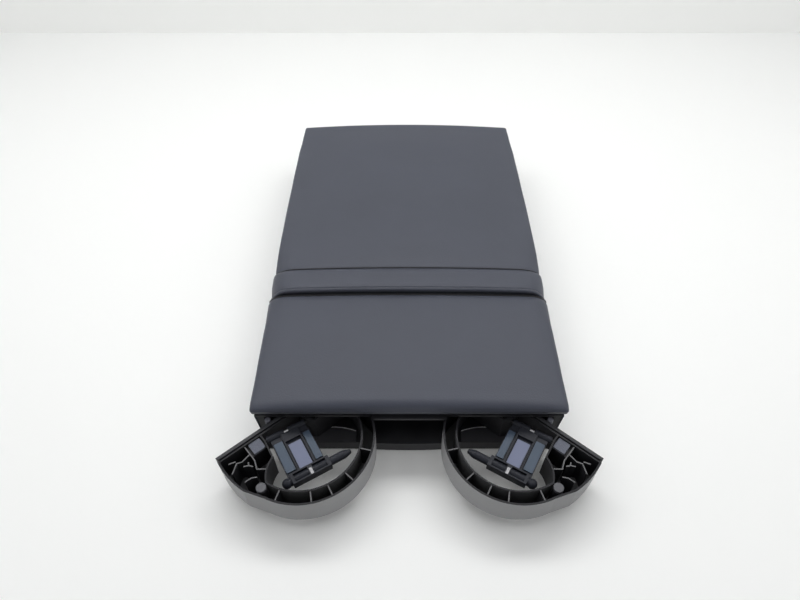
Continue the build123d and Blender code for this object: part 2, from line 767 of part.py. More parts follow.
# Left cup flap: hinge barrels, ribbed plates and the crossbar that carries the foot rod
with BuildPart() as left_flap:
    with BuildSketch(flap_at(Z_WEB0)):
        slab(-17.6 * PLAN, 15.6 * PLAN, 5.5 * PLAN, 41.0 * PLAN)
    extrude(amount=WEB)
    with BuildSketch(flap_at(Z_WEB0 + WEB)):
        slab(5.0 * PLAN, 6.2 * PLAN, 2.0 * PLAN, 41.0 * PLAN)
        slab(-9.6 * PLAN, -8.4 * PLAN, 6.0 * PLAN, 41.0 * PLAN)
    extrude(amount=FLAP_RIB)
    with BuildSketch(flap_at(Z_WEB0)):
        slab(-9.6 * PLAN, 5.0 * PLAN, 2.4 * PLAN, 10.4 * PLAN)
    extrude(amount=KNUCKLE)
    with BuildSketch(hinge_line(2.4)):
        Circle(BARREL_R)
    extrude(amount=15.6 * PLAN)
    with BuildSketch(hinge_line(-16.8)):
        Circle(BARREL_R)
    extrude(amount=15.2 * PLAN)
    with BuildSketch(flap_at(Z_WEB0)):
        slab(5.4 * PLAN, 15.6 * PLAN, 0, 7.0 * PLAN)
        slab(-16.8 * PLAN, -1.8 * PLAN, 0, 7.0 * PLAN)
    extrude(amount=0.6 * KNUCKLE)
    with BuildSketch(flap_at(Z_HINGE - CROSSBAR / 2)):
        slab(-20.0 * PLAN, 14.0 * PLAN, ROD_OUT - ROD_R - 1.2, ROD_OUT + ROD_R + 1.2)
    extrude(amount=CROSSBAR)
    with BuildSketch(flap_at(Z_HINGE)):
        slab(-17.0 * PLAN, -5.0 * PLAN, ROD_OUT - ROD_R, ROD_OUT + ROD_R)
        slab(-1.0 * PLAN, 11.6 * PLAN, ROD_OUT - ROD_R, ROD_OUT + ROD_R)
    extrude(amount=CROSSBAR, mode=Mode.SUBTRACT)
    with BuildSketch(rod_line(-24.0)):
        Circle(ROD_R + 0.03)
    extrude(amount=44.0 * PLAN, mode=Mode.SUBTRACT)
    with BuildSketch(hinge_line(-18.0)):
        Circle(FLAP_PIN_R + RUNNING)
    extrude(amount=36.0 * PLAN, mode=Mode.SUBTRACT)
left_flap.part.label = "left_flap"

with BuildPart() as right_flap:
    mirror(left_flap.part, about=Plane.YZ)
right_flap.part.label = "right_flap"

# Grey plates set on the flap's web
with BuildPart() as left_flap_plates:
    with BuildSketch(flap_at(Z_WEB0 + WEB)):
        slab(7.0 * PLAN, 14.8 * PLAN, 7.4 * PLAN, 36.6 * PLAN)
        slab(-7.4 * PLAN, 4.0 * PLAN, 13.4 * PLAN, 38.4 * PLAN)
        slab(-17.0 * PLAN, -11.0 * PLAN, 9.0 * PLAN, 36.8 * PLAN)
    extrude(amount=PLATE)
    fillet(left_flap_plates.edges().filter_by(Axis.Z), radius=0.6)
left_flap_plates.part.label = "left_flap_plates"

with BuildPart() as right_flap_plates:
    mirror(left_flap_plates.part, about=Plane.YZ)
right_flap_plates.part.label = "right_flap_plates"

with BuildPart() as left_foot_rod:
    with BuildSketch(rod_line(-33.0)):
        Circle(ROD_R)
    extrude(amount=51.0 * PLAN)
    with Locations(rod_line(18.0)):
        Sphere(BALL_R)
    with BuildSketch(rod_line(-33.0)):
        Circle(ROD_R)
    with BuildSketch(rod_line(-39.2)):
        Circle(0.5 * ROD_R)
    loft()
    fillet(left_foot_rod.faces().sort_by(Axis(rod_line(0).origin, rod_line(0).z_dir))[0].edges(), 0.4 * ROD_R)
left_foot_rod.part.label = "left_foot_rod"

with BuildPart() as right_foot_rod:
    mirror(left_foot_rod.part, about=Plane.YZ)
right_foot_rod.part.label = "right_foot_rod"

# A small steel clip holds the rod between the two windows
with BuildPart() as left_rod_clip:
    with BuildSketch(flap_at(Z_HINGE + CROSSBAR / 2)):
        slab(-4.2 * PLAN, -1.8 * PLAN, ROD_OUT - 1.2, ROD_OUT + ROD_R + 1.0)
    extrude(amount=0.8)
left_rod_clip.part.label = "left_rod_clip"

with BuildPart() as right_rod_clip:
    mirror(left_rod_clip.part, about=Plane.YZ)
right_rod_clip.part.label = "right_rod_clip"

for piece in (
    front_panel,
    rear_panel,
    band,
    back_foam,
    arm_side_cover,
    arm_side_foam,
    left_side_cover,
    right_side_cover,
    rear_cover,
    left_hinge_cap,
    right_hinge_cap,
    frame_tube,
    hinge_tube,
    left_hinge_bush,
    right_hinge_bush,
    left_latch_body,
    right_latch_body,
    left_latch_plunger,
    right_latch_plunger,
    core_foam,
    housing_base,
    housing_lid,
    housing_screws,
    left_sill,
    right_sill,
    left_stop_post,
    right_stop_post,
    left_pivot_pin,
    right_pivot_pin,
    left_arm,
    right_arm,
    left_fascia,
    right_fascia,
    left_felt_pad,
    right_felt_pad,
    left_plug,
    right_plug,
    left_flap_pin,
    right_flap_pin,
    left_flap,
    right_flap,
    left_flap_plates,
    right_flap_plates,
    left_foot_rod,
    right_foot_rod,
    left_rod_clip,
    right_rod_clip,
):
    export_step(piece.part, f"parts/{piece.part.label}.step")
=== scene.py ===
import json
import math

import bmesh
import bpy
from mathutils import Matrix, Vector


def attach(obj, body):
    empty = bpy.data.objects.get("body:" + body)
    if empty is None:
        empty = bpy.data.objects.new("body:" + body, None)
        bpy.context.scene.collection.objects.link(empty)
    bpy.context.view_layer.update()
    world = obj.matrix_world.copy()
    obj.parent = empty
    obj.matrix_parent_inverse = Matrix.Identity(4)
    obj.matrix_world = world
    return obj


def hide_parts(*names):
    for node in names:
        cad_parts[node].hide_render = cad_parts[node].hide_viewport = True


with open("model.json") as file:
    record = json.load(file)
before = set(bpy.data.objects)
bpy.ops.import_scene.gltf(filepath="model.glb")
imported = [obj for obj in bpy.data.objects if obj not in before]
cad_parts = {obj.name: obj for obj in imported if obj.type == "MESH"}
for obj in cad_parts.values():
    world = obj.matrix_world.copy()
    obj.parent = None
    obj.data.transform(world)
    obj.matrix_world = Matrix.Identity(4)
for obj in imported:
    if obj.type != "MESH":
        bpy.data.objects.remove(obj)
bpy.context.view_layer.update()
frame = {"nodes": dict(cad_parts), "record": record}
scene = bpy.context.scene

# Sizes in metres, as in the part's source; the band and the crown are fitted to the photograph
LENGTH = 0.420
WIDTH = 0.271
HEIGHT = 0.066
EDGE_DROP = 0.001
EDGE_Z = HEIGHT - EDGE_DROP
LEAN = math.radians(4.5)
TAN = math.tan(LEAN)
CROWN = 0.004
DROOP_REACH = 0.024
SHOULDER_REACH = 0.013
BOW_RISE = 1.6
SIDE_STEP = 0.003
FRONT = -LENGTH / 2
REAR = LENGTH / 2
ARM_PAD = 0.0105
LIP = 0.0046
NOSE = 0.0024
LID_TOP = 0.0467
PAD_Z = 0.0470
FRONT_DROP = 0.0032
BAND_Y = FRONT + 0.1286
BAND_END = BAND_Y + 0.0304
LOW_REAR = REAR - 0.004
HINGE_Y = REAR - 0.025
CAP_Y = HINGE_Y - 0.0132
SKIN = 0.0014
GAP = 0.0003
RING_X = 0.08868
RING_Y = -0.22439
RING_OUT = 0.0602
RIB_TOP = 0.0420
# Shares of the pale colour painted on the arm: a painted highlight on the rib tops and painted fill
# light in the pockets
RIB_HIGHLIGHT = 0.38
POCKET_FILL_LIGHT = 0.3
POCKET_DEPTH = 0.02
FLAP_X = 0.10528
FLAP_Y = -0.21727
FLAP_ANGLE = math.radians(210.5)
SILL_Z = 0.0137
SILL_X = 0.068
SILL_HALF = 0.0205
SILL_Y = FRONT + 0.0102
SILL_ARCH = 0.0039
STITCH_DOWN = 0.0042
EDGE_ROUND = 0.00028
WALL_Y = 0.65


def half(z):
    """Half-width of the drafted side at a height."""
    return WIDTH / 2 - (EDGE_Z - z) * TAN


# Materials
def material(name):
    """A new node material, its tree and its shader."""
    mat = bpy.data.materials.new(name)
    mat.use_nodes = True
    tree = mat.node_tree
    return mat, tree, tree.nodes["Principled BSDF"]


def add_node(tree, kind, **values):
    """A node with its properties and unlinked inputs set."""
    node = tree.nodes.new(kind)
    for key, value in values.items():
        if hasattr(node, key):
            setattr(node, key, value)
        else:
            node.inputs[key.replace("_", " ")].default_value = value
    return node


def ramp(tree, source, low, high, start=0.3, end=0.7):
    """A two-colour ramp driven by a value."""
    node = tree.nodes.new("ShaderNodeValToRGB")
    node.color_ramp.elements[0].position = start
    node.color_ramp.elements[1].position = end
    node.color_ramp.elements[0].color = (*low, 1)
    node.color_ramp.elements[1].color = (*high, 1)
    tree.links.new(source, node.inputs["Fac"])
    return node.outputs["Color"]


def span(tree, source, low, high):
    """A value from 0 to 1 mapped to a range."""
    node = add_node(tree, "ShaderNodeMapRange")
    node.inputs["To Min"].default_value = low
    node.inputs["To Max"].default_value = high
    tree.links.new(source, node.inputs["Value"])
    return node.outputs["Result"]


def leather(name, dark, light, rough=0.52):
    """Fine-grained coated leather: pebble bump, soft colour drift, worn sheen."""
    mat, tree, shader = material(name)
    coords = tree.nodes.new("ShaderNodeTexCoord").outputs["Object"]
    drift = add_node(tree, "ShaderNodeTexNoise", Scale=14.0, Detail=3.0)
    pebble = add_node(tree, "ShaderNodeTexVoronoi", Scale=820.0)
    pores = add_node(tree, "ShaderNodeTexNoise", Scale=1900.0, Detail=2.0)
    creases = add_node(tree, "ShaderNodeTexNoise", Scale=60.0, Detail=6.0)
    for node in (drift, pebble, pores, creases):
        tree.links.new(coords, node.inputs["Vector"])
    tree.links.new(ramp(tree, drift.outputs["Fac"], dark, light), shader.inputs["Base Color"])
    gloss = span(tree, drift.outputs["Fac"], rough - 0.05, rough + 0.05)
    tree.links.new(gloss, shader.inputs["Roughness"])
    fine = calc(tree, "MULTIPLY", pores.outputs["Fac"], 0.45)
    bump = add_node(tree, "ShaderNodeBump", Strength=0.22, Distance=0.00035)
    tree.links.new(calc(tree, "ADD", pebble.outputs["Distance"], fine), bump.inputs["Height"])
    soft = add_node(tree, "ShaderNodeBump", Strength=0.08, Distance=0.002)
    tree.links.new(creases.outputs["Fac"], soft.inputs["Height"])
    tree.links.new(bump.outputs["Normal"], soft.inputs["Normal"])
    tree.links.new(soft.outputs["Normal"], shader.inputs["Normal"])
    shader.inputs["Specular IOR Level"].default_value = 0.42
    shader.inputs["Sheen Weight"].default_value = 0.1
    shader.inputs["Sheen Roughness"].default_value = 0.5
    return mat


def plastic(name, dark, light, rough=0.42, grain=2400.0, depth=0.00006, gloss=0.5):
    """Moulded plastic: fine spark texture, faint flow marks in the gloss."""
    mat, tree, shader = material(name)
    coords = tree.nodes.new("ShaderNodeTexCoord").outputs["Object"]
    flow = add_node(tree, "ShaderNodeTexNoise", Scale=35.0, Detail=4.0)
    spark = add_node(tree, "ShaderNodeTexNoise", Scale=grain, Detail=2.0)
    for node in (flow, spark):
        tree.links.new(coords, node.inputs["Vector"])
    tree.links.new(ramp(tree, flow.outputs["Fac"], dark, light), shader.inputs["Base Color"])
    shine = span(tree, flow.outputs["Fac"], rough - 0.06, rough + 0.06)
    tree.links.new(shine, shader.inputs["Roughness"])
    bump = add_node(tree, "ShaderNodeBump", Strength=0.3, Distance=depth)
    tree.links.new(spark.outputs["Fac"], bump.inputs["Height"])
    tree.links.new(bump.outputs["Normal"], shader.inputs["Normal"])
    shader.inputs["Specular IOR Level"].default_value = gloss
    return mat


def dotted(tree, output, offset, direction):
    """A texture coordinate's reach along a direction, from a point."""
    coords = tree.nodes.new("ShaderNodeTexCoord")
    away = add_node(tree, "ShaderNodeVectorMath", operation="SUBTRACT")
    away.inputs[1].default_value = offset
    along = add_node(tree, "ShaderNodeVectorMath", operation="DOT_PRODUCT")
    along.inputs[1].default_value = direction
    tree.links.new(coords.outputs[output], away.inputs[0])
    tree.links.new(away.outputs["Vector"], along.inputs[0])
    return along.outputs["Value"]


def calc(tree, operation, *terms):
    """A maths node on values or sockets."""
    node = add_node(tree, "ShaderNodeMath", operation=operation)
    for slot, term in zip(node.inputs, terms):
        if isinstance(term, (int, float)):
            slot.default_value = term
        else:
            tree.links.new(term, slot)
    return node.outputs["Value"]


def masked(mat, mask, dark, light, drift=0.25):
    """Give a finished material a second colour where the mask is 1, with its own drift kept."""
    tree = mat.node_tree
    flow = next(node for node in tree.nodes if node.bl_idname == "ShaderNodeTexNoise")
    middle = calc(tree, "SUBTRACT", flow.outputs["Fac"], 0.5)
    value = calc(tree, "MULTIPLY_ADD", middle, drift, mask)
    shader = tree.nodes["Principled BSDF"]
    tree.links.new(ramp(tree, value, dark, light, 0.0, 1.0), shader.inputs["Base Color"])
    return mat


def steel(name, dark, light, rough=0.28):
    """Zinc-plated steel with fine drawn streaks."""
    mat, tree, shader = material(name)
    coords = tree.nodes.new("ShaderNodeTexCoord").outputs["Object"]
    streak = add_node(tree, "ShaderNodeTexNoise", Scale=900.0, Detail=3.0)
    tree.links.new(coords, streak.inputs["Vector"])
    tree.links.new(ramp(tree, streak.outputs["Fac"], dark, light), shader.inputs["Base Color"])
    shine = span(tree, streak.outputs["Fac"], rough - 0.08, rough + 0.1)
    tree.links.new(shine, shader.inputs["Roughness"])
    bump = add_node(tree, "ShaderNodeBump", Strength=0.15, Distance=0.00003)
    tree.links.new(streak.outputs["Fac"], bump.inputs["Height"])
    tree.links.new(bump.outputs["Normal"], shader.inputs["Normal"])
    shader.inputs["Metallic"].default_value = 1.0
    return mat


def felt(name, dark, light, scale=1500.0, depth=0.0004):
    """Short-napped felt or open foam: fibre noise in colour and height."""
    mat, tree, shader = material(name)
    coords = tree.nodes.new("ShaderNodeTexCoord").outputs["Object"]
    fibre = add_node(tree, "ShaderNodeTexNoise", Scale=scale, Detail=5.0)
    tree.links.new(coords, fibre.inputs["Vector"])
    tree.links.new(ramp(tree, fibre.outputs["Fac"], dark, light), shader.inputs["Base Color"])
    bump = add_node(tree, "ShaderNodeBump", Strength=0.5, Distance=depth)
    tree.links.new(fibre.outputs["Fac"], bump.inputs["Height"])
    tree.links.new(bump.outputs["Normal"], shader.inputs["Normal"])
    shader.inputs["Roughness"].default_value = 0.9
    shader.inputs["Sheen Weight"].default_value = 0.25
    return mat


hide = leather("leather_slate", (0.0425, 0.0474, 0.068), (0.0487, 0.0542, 0.0767))
# Near-black leather for the dark seam lines and for the painted shadow in the step before the band
seam_and_shadow_black = leather("leather_welt_black", (0.006, 0.006, 0.009), (0.011, 0.011, 0.015), 0.6)
thread = felt("seam_thread", (0.05, 0.052, 0.06), (0.1, 0.105, 0.12), 2600.0, 0.0002)
black = plastic("plastic_black", (0.016, 0.016, 0.019), (0.026, 0.026, 0.03), 0.42, gloss=0.4)
fascia_skin = plastic(
    "plastic_fascia", (0.03, 0.031, 0.035), (0.045, 0.046, 0.052), 0.45, 1500.0, 0.00012, gloss=0.3
)
rod_skin = plastic("plastic_rod", (0.016, 0.0175, 0.024), (0.026, 0.028, 0.036), 0.42, gloss=0.18)
grey = plastic("plastic_grey", (0.12, 0.122, 0.135), (0.15, 0.152, 0.165), 0.42)
ivory = plastic("plastic_bearing", (0.44, 0.43, 0.4), (0.54, 0.53, 0.5), 0.35)
rubber = plastic(
    "rubber_stop", (0.12, 0.122, 0.15), (0.18, 0.182, 0.215), 0.55, 1200.0, 0.0001, gloss=0.35
)
felt_grey = felt("felt_grey", (0.105, 0.115, 0.15), (0.155, 0.165, 0.2))
foam = felt("foam_open", (0.3, 0.29, 0.27), (0.4, 0.39, 0.37), 900.0, 0.0006)
coated = plastic("steel_coated", (0.03, 0.03, 0.03), (0.045, 0.045, 0.045), 0.38, 700.0, 0.00008)
bright = steel("steel_bright", (0.5, 0.5, 0.52), (0.72, 0.72, 0.74))
plug_grey = plastic("plastic_plug", (0.064, 0.065, 0.075), (0.084, 0.085, 0.096), 0.42)
# Painted light: the sill's dark plastic is made lighter to lift its shadowed top
sill_painted_light = plastic("plastic_sill_painted_light", (0.045, 0.045, 0.051), (0.064, 0.064, 0.071), 0.5, gloss=0.25)
clip_steel = steel("steel_clip", (0.16, 0.16, 0.17), (0.3, 0.3, 0.31), 0.4)


def arm_plastic_painted_light(name, sign):
    """The arm's moulding: dark grained plastic with painted light: a pale outer wall as if lit from
    the front, painted highlights on the rib tops, pocket floors lifted by painted fill light, dark
    rims.
    """
    mat = plastic(name, (0.02, 0.02, 0.022), (0.03, 0.03, 0.032), 0.46, gloss=0.16)
    tree = mat.node_tree
    coords = tree.nodes.new("ShaderNodeTexCoord")
    flat = add_node(tree, "ShaderNodeVectorMath", operation="MULTIPLY")
    flat.inputs[1].default_value = (1, 1, 0)
    tree.links.new(coords.outputs["Normal"], flat.inputs[0])
    away = add_node(tree, "ShaderNodeVectorMath", operation="SUBTRACT")
    away.inputs[1].default_value = (sign * RING_X, RING_Y, 0)
    tree.links.new(coords.outputs["Object"], away.inputs[0])
    outward = add_node(tree, "ShaderNodeVectorMath", operation="DOT_PRODUCT")
    tree.links.new(flat.outputs["Vector"], outward.inputs[0])
    tree.links.new(away.outputs["Vector"], outward.inputs[1])
    # Painted light: the outer wall is made pale, as light from the front would make it
    wall = add_node(tree, "ShaderNodeMapRange")
    wall.inputs["From Min"].default_value = RING_OUT - 0.008
    wall.inputs["From Max"].default_value = RING_OUT - 0.003
    tree.links.new(outward.outputs["Value"], wall.inputs["Value"])
    height = dotted(tree, "Object", (0, 0, 0), (0, 0, 1))
    upward = calc(tree, "GREATER_THAN", dotted(tree, "Normal", (0, 0, 0), (0, 0, 1)), 0.6)
    level = calc(tree, "COMPARE", height, RIB_TOP, 0.0003)
    # Painted highlight: a pale band on the upward faces at the rib tops
    rib = calc(tree, "MULTIPLY", calc(tree, "MULTIPLY", upward, level), RIB_HIGHLIGHT)
    # Painted fill light: the pocket floors are lifted out of their shade
    deep = calc(tree, "COMPARE", outward.outputs["Value"], RING_OUT - 0.0108, 0.003)
    low = calc(tree, "LESS_THAN", height, RIB_TOP - POCKET_DEPTH)
    pocket_fill = calc(tree, "MAXIMUM", deep, calc(tree, "MULTIPLY", upward, low))
    mask = calc(tree, "MAXIMUM", wall.outputs["Result"], rib)
    mask = calc(tree, "MAXIMUM", mask, calc(tree, "MULTIPLY", pocket_fill, POCKET_FILL_LIGHT))
    return masked(mat, mask, (0.022, 0.022, 0.025), (0.335, 0.335, 0.342), 0.1)


def flap_way(sign):
    """The flap's place and the direction of its hinge line, in plan."""
    along = (-sign * math.cos(FLAP_ANGLE), math.sin(FLAP_ANGLE), 0)
    return (sign * FLAP_X, FLAP_Y, 0), along


def flap_plastic(name, sign):
    """The flap's plates: a blue-grey one between two greener, darker ones."""
    mat = plastic(name, (0.09, 0.1, 0.145), (0.115, 0.126, 0.175), 0.4, 1800.0, 0.00004, gloss=0.3)
    tree = mat.node_tree
    middle = calc(tree, "COMPARE", dotted(tree, "Object", *flap_way(sign)), -0.0017, 0.0075)
    return masked(mat, middle, (0.05, 0.074, 0.112), (0.152, 0.172, 0.265), 0.3)


def pin_steel_painted_glint(name, sign):
    """The flap's pin: a painted glint where it shows between the barrels, its ends painted dark as
    painted shade.
    """
    mat = steel(name, (0.5, 0.5, 0.52), (0.72, 0.72, 0.74))
    tree = mat.node_tree
    # Painted glint in the middle band of the pin; painted shade at its ends
    middle = calc(tree, "COMPARE", dotted(tree, "Object", *flap_way(sign)), 0.0004, 0.0026)
    return masked(mat, middle, (0.02, 0.02, 0.021), (0.66, 0.66, 0.68), 0.2)


# Near-white plastic for the painted highlight line along the sills' rear edges
painted_highlight_grey = plastic("plastic_painted_highlight", (0.8, 0.8, 0.82), (0.9, 0.9, 0.92), 0.4)

by_slot = {
    "leather": hide,
    "band_leather": hide,
    "foam": foam,
    "black_plastic": black,
    "fascia_plastic": fascia_skin,
    "flap_plastic": grey,
    "rod_plastic": rod_skin,
    "grey_plastic": grey,
    "bearing_plastic": ivory,
    "stop_rubber": rubber,
    "felt": felt_grey,
    "frame_steel": coated,
    "bright_steel": bright,
}
own = {}
for sign, side in ((-1, "left_"), (1, "right_")):
    own[side + "arm"] = arm_plastic_painted_light(side + "plastic_arm_painted_light", sign)
    own[side + "flap_plates"] = flap_plastic(side + "plastic_flap", sign)
    own[side + "flap_pin"] = pin_steel_painted_glint(side + "steel_pin_painted_glint", sign)
    own[side + "rod_clip"] = clip_steel
    own[side + "plug"] = plug_grey
    own[side + "sill"] = sill_painted_light
slot_of = {s["node"]: s["material_slot"] for s in frame["record"]["subparts"]}
for name, node in frame["nodes"].items():
    node.data.materials.clear()
    node.data.materials.append(own.get(name, by_slot[slot_of[name]]))


# Mesh helpers
def mesh_piece(name, points, faces, mat, body="armrest", smooth=True):
    """A named mesh in the row frame that rides on a body."""
    mesh = bpy.data.meshes.new(name)
    mesh.from_pydata([tuple(p) for p in points], [], faces)
    mesh.validate()
    work = bmesh.new()
    work.from_mesh(mesh)
    bmesh.ops.remove_doubles(work, verts=work.verts, dist=1e-6)
    bmesh.ops.recalc_face_normals(work, faces=work.faces)
    work.to_mesh(mesh)
    work.free()
    for face in mesh.polygons:
        face.use_smooth = smooth
    mesh.materials.append(mat)
    obj = bpy.data.objects.new(name, mesh)
    scene.collection.objects.link(obj)
    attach(obj, body)
    return obj


def section(top, low, crown, r_top, r_low, step=0.006):
    """A closed loop across the body, from the middle of the underside."""
    edge = top - EDGE_DROP if crown else top
    slope = 2 * crown / half(edge)
    turn = math.pi / 2 + LEAN - math.atan(slope)
    side_top = edge - r_top * math.tan(turn / 2) * math.cos(LEAN)
    side_low = low + r_low * (1 - math.sin(LEAN))
    corner = half(low) - r_low * 0.92
    count = round(corner / step)
    out = [(corner * i / count, low) for i in range(count)]
    cx = half(side_low) - r_low * math.cos(LEAN)
    cz = side_low + r_low * math.sin(LEAN)
    for i in range(5):
        a = -math.pi / 2 + (math.pi / 2 - LEAN) * i / 4
        out.append((cx + r_low * math.cos(a), cz + r_low * math.sin(a)))
    count = max(2, round((side_top - side_low) / SIDE_STEP))
    for i in range(1, count):
        z = side_low + (side_top - side_low) * i / count
        out.append((half(z), z))
    cx = half(side_top) - r_top * math.cos(LEAN)
    cz = side_top + r_top * math.sin(LEAN)
    for i in range(7):
        a = -LEAN + (math.pi / 2 - math.atan(slope) + LEAN) * i / 6
        out.append((cx + r_top * math.cos(a), cz + r_top * math.sin(a)))
    x0, z0 = out[-1]
    count = round(x0 / step)
    for i in range(1, count + 1):
        x = x0 * (1 - i / count)
        out.append((x, z0 + x0 * slope / 2 * (1 - (x / x0) ** 2)))
    loop = [Vector((x, 0, z)) for x, z in out]
    return loop + [Vector((-p.x, 0, p.z)) for p in loop[-2:0:-1]]


def fitted(p, box, top, side, low):
    """A loop point after its loop's top, sides and underside move out for a station."""
    wide, z0, z1 = box
    t = (p.z - z0) / (z1 - z0)
    return Vector((p.x * (1 + side / wide), 0, p.z + top * t - low * (1 - t)))


def dressed(bow):
    """A shaper for the back cushion: its sides bow by a table and its top falls towards them."""

    def shape(q):
        near = max(0.0, (abs(q.x) - WIDTH / 2 + DROOP_REACH) / DROOP_REACH)
        close = max(0.0, (abs(q.x) - WIDTH / 2 + SHOULDER_REACH) / SHOULDER_REACH)
        rise = max(0.0, min(1.0, (q.z - PAD_Z) / (HEIGHT - PAD_Z)))
        wide = 1 + 2 * blend(bow, q.y) * min(1.0, BOW_RISE * rise) / WIDTH
        fall = blend(DROOP, q.y) * near**2 + blend(SHOULDER, q.y) * close**2
        fall += blend(SINK, q.y) * (1 - min(1.0, 2 * abs(q.x) / WIDTH) ** 2)
        return Vector((q.x * wide, q.y, q.z - fall * rise))

    return shape


def bolster(name, loop, stations, mat, caps=(0.0, 0.0), shape=None):
    """A closed form along Y: stations are (y, top, side, low) offsets, a cap is its bulge."""
    n = len(loop)
    points, faces = [], []
    box = max(p.x for p in loop), min(p.z for p in loop), max(p.z for p in loop)
    for y, top, side, low in stations:
        for p in loop:
            q = fitted(p, box, top, side, low)
            points.append(Vector((q.x, y, q.z)))
    for j in range(len(stations) - 1):
        for i in range(n):
            a, b = j * n + i, j * n + (i + 1) % n
            faces.append((a, b, b + n, a + n))
    for cap, j in ((caps[0], 0), (caps[1], len(stations) - 1)):
        rim = points[j * n : (j + 1) * n]
        low = min(q.z for q in rim)
        high = max(q.z for q in rim)
        reach = max(q.x for q in rim) - (high - low) / 2
        last = j * n
        for t in (0.2, 0.45, 0.75, 0.96):
            base = len(points)
            for q in rim:
                aim = Vector((max(-reach, min(reach, q.x)), q.y, (low + high) / 2))
                r = q.lerp(aim, t)
                r.y += cap * (1 - (1 - t) ** 2)
                points.append(r)
            for i in range(n):
                k = (i + 1) % n
                faces.append((last + i, last + k, base + k, base + i))
            last = base
        faces.append(tuple(range(last, last + n)))
    if shape:
        points = [shape(q) for q in points]
    return mesh_piece(name, points, faces, mat)


def rounded(y, sign, reach, top, side, low, count=6):
    """Stations that round an end over, from its face to where it meets the length."""
    out = []
    for i in range(count + 1):
        a = math.pi / 2 * i / count
        fall = 1 - math.sin(a)
        out.append((y + sign * reach * (1 - math.cos(a)), -top * fall, -side * fall, -low * fall))
    return out


def spaced(y0, y1, step=0.006):
    """Even stations with no offset."""
    count = max(2, round((y1 - y0) / step))
    return [(y0 + (y1 - y0) * i / count, 0.0, 0.0, 0.0) for i in range(count + 1)]


def blend(table, y):
    """A smooth value from a table of (y, value)."""
    for (y0, a), (y1, b) in zip(table, table[1:]):
        if y <= y1:
            t = max(0.0, (y - y0) / (y1 - y0))
            return a + (b - a) * t * t * (3 - 2 * t)
    return table[-1][1]


def outside(z, y0, y1, x=0.115):
    """A test for the points that a swelling cover holds: its sides, underside and ends."""

    def held(c):
        return c.z < z or abs(c.x) > x or not y0 < c.y < y1

    return held


def swell(obj, held, pressure=4.0, cap=0.0012, frames=16):
    """Blow the closed cover up a little as cloth, held at its seams, and keep the result."""
    group = obj.vertex_groups.new(name="held")
    group.add([v.index for v in obj.data.vertices if held(v.co)], 1.0, "REPLACE")
    before = [v.co.copy() for v in obj.data.vertices]
    cloth = obj.modifiers.new("swell", "CLOTH")
    cloth.settings.quality = 6
    cloth.settings.mass = 0.3
    cloth.settings.tension_stiffness = 18
    cloth.settings.compression_stiffness = 18
    cloth.settings.shear_stiffness = 8
    cloth.settings.bending_stiffness = 1.5
    cloth.settings.use_pressure = True
    cloth.settings.uniform_pressure_force = pressure
    cloth.settings.vertex_group_mass = "held"
    cloth.settings.effector_weights.gravity = 0
    cloth.collision_settings.use_collision = False
    cloth.collision_settings.use_self_collision = False
    cloth.point_cache.frame_start = 1
    cloth.point_cache.frame_end = frames
    for frame_number in range(1, frames + 1):
        scene.frame_set(frame_number)
    posed = obj.evaluated_get(bpy.context.evaluated_depsgraph_get())
    after = [v.co.copy() for v in posed.data.vertices]
    obj.modifiers.remove(cloth)
    scene.frame_set(1)
    for vertex, a, b in zip(obj.data.vertices, before, after):
        move = b - a
        vertex.co = a + move * min(1.0, cap / max(move.length, 1e-9))


# Back cushion: front panel, rear panel and the band between them.
# Tables along Y: how far the top falls towards the sides, at the shoulders and in the middle
DROOP = [
    (FRONT, 0.0015),
    (BAND_Y - 0.05, 0.0028),
    (BAND_Y, 0.0052),
    (BAND_END, 0.0050),
    (BAND_END + 0.06, 0.0030),
    (REAR - 0.05, 0.0006),
    (REAR, 0.0),
]
SHOULDER = [
    (BAND_Y - 0.045, 0.0),
    (BAND_Y - 0.010, 0.0050),
    (BAND_Y, 0.0080),
    (BAND_Y + 0.008, 0.0066),
    (BAND_END - 0.010, 0.0042),
    (BAND_END, 0.0022),
    (BAND_END + 0.030, 0.0),
]
SINK = [
    (FRONT + 0.02, 0.0),
    (BAND_Y, 0.0010),
    (BAND_END, 0.0013),
    (BAND_END + 0.12, 0.0),
]

# Front panel, with its rounded nose
front_bow = [
    (FRONT, 0.0004),
    (FRONT + 0.03, 0.0004),
    (-0.150, 0.0009),
    (-0.120, 0.0011),
    (-0.095, 0.0026),
    (BAND_Y, 0.0036),
]
front_line = rounded(FRONT, 1, 0.0082, 0.0062, 0.0012, 0.0086)
front_line += spaced(FRONT + 0.0130, BAND_Y - 0.0085)
front_tuck = [(-0.006, 0.0001), (-0.0042, 0.0004), (-0.0026, 0.0009), (-0.001, 0.0013)]
for gap, drop in front_tuck + [(0.003, 0.0015)]:
    front_line.append((BAND_Y + gap, -drop, -drop, 0.0))
front_loop = section(HEIGHT - FRONT_DROP - 0.0006, PAD_Z, CROWN, 0.0042, 0.0012)
front_pad = bolster(
    "front_cushion", front_loop, front_line, hide, (-0.0006, 0.0), dressed(front_bow)
)
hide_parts("front_panel")
swell(front_pad, outside(HEIGHT - 0.006, FRONT + 0.014, BAND_Y - 0.006))

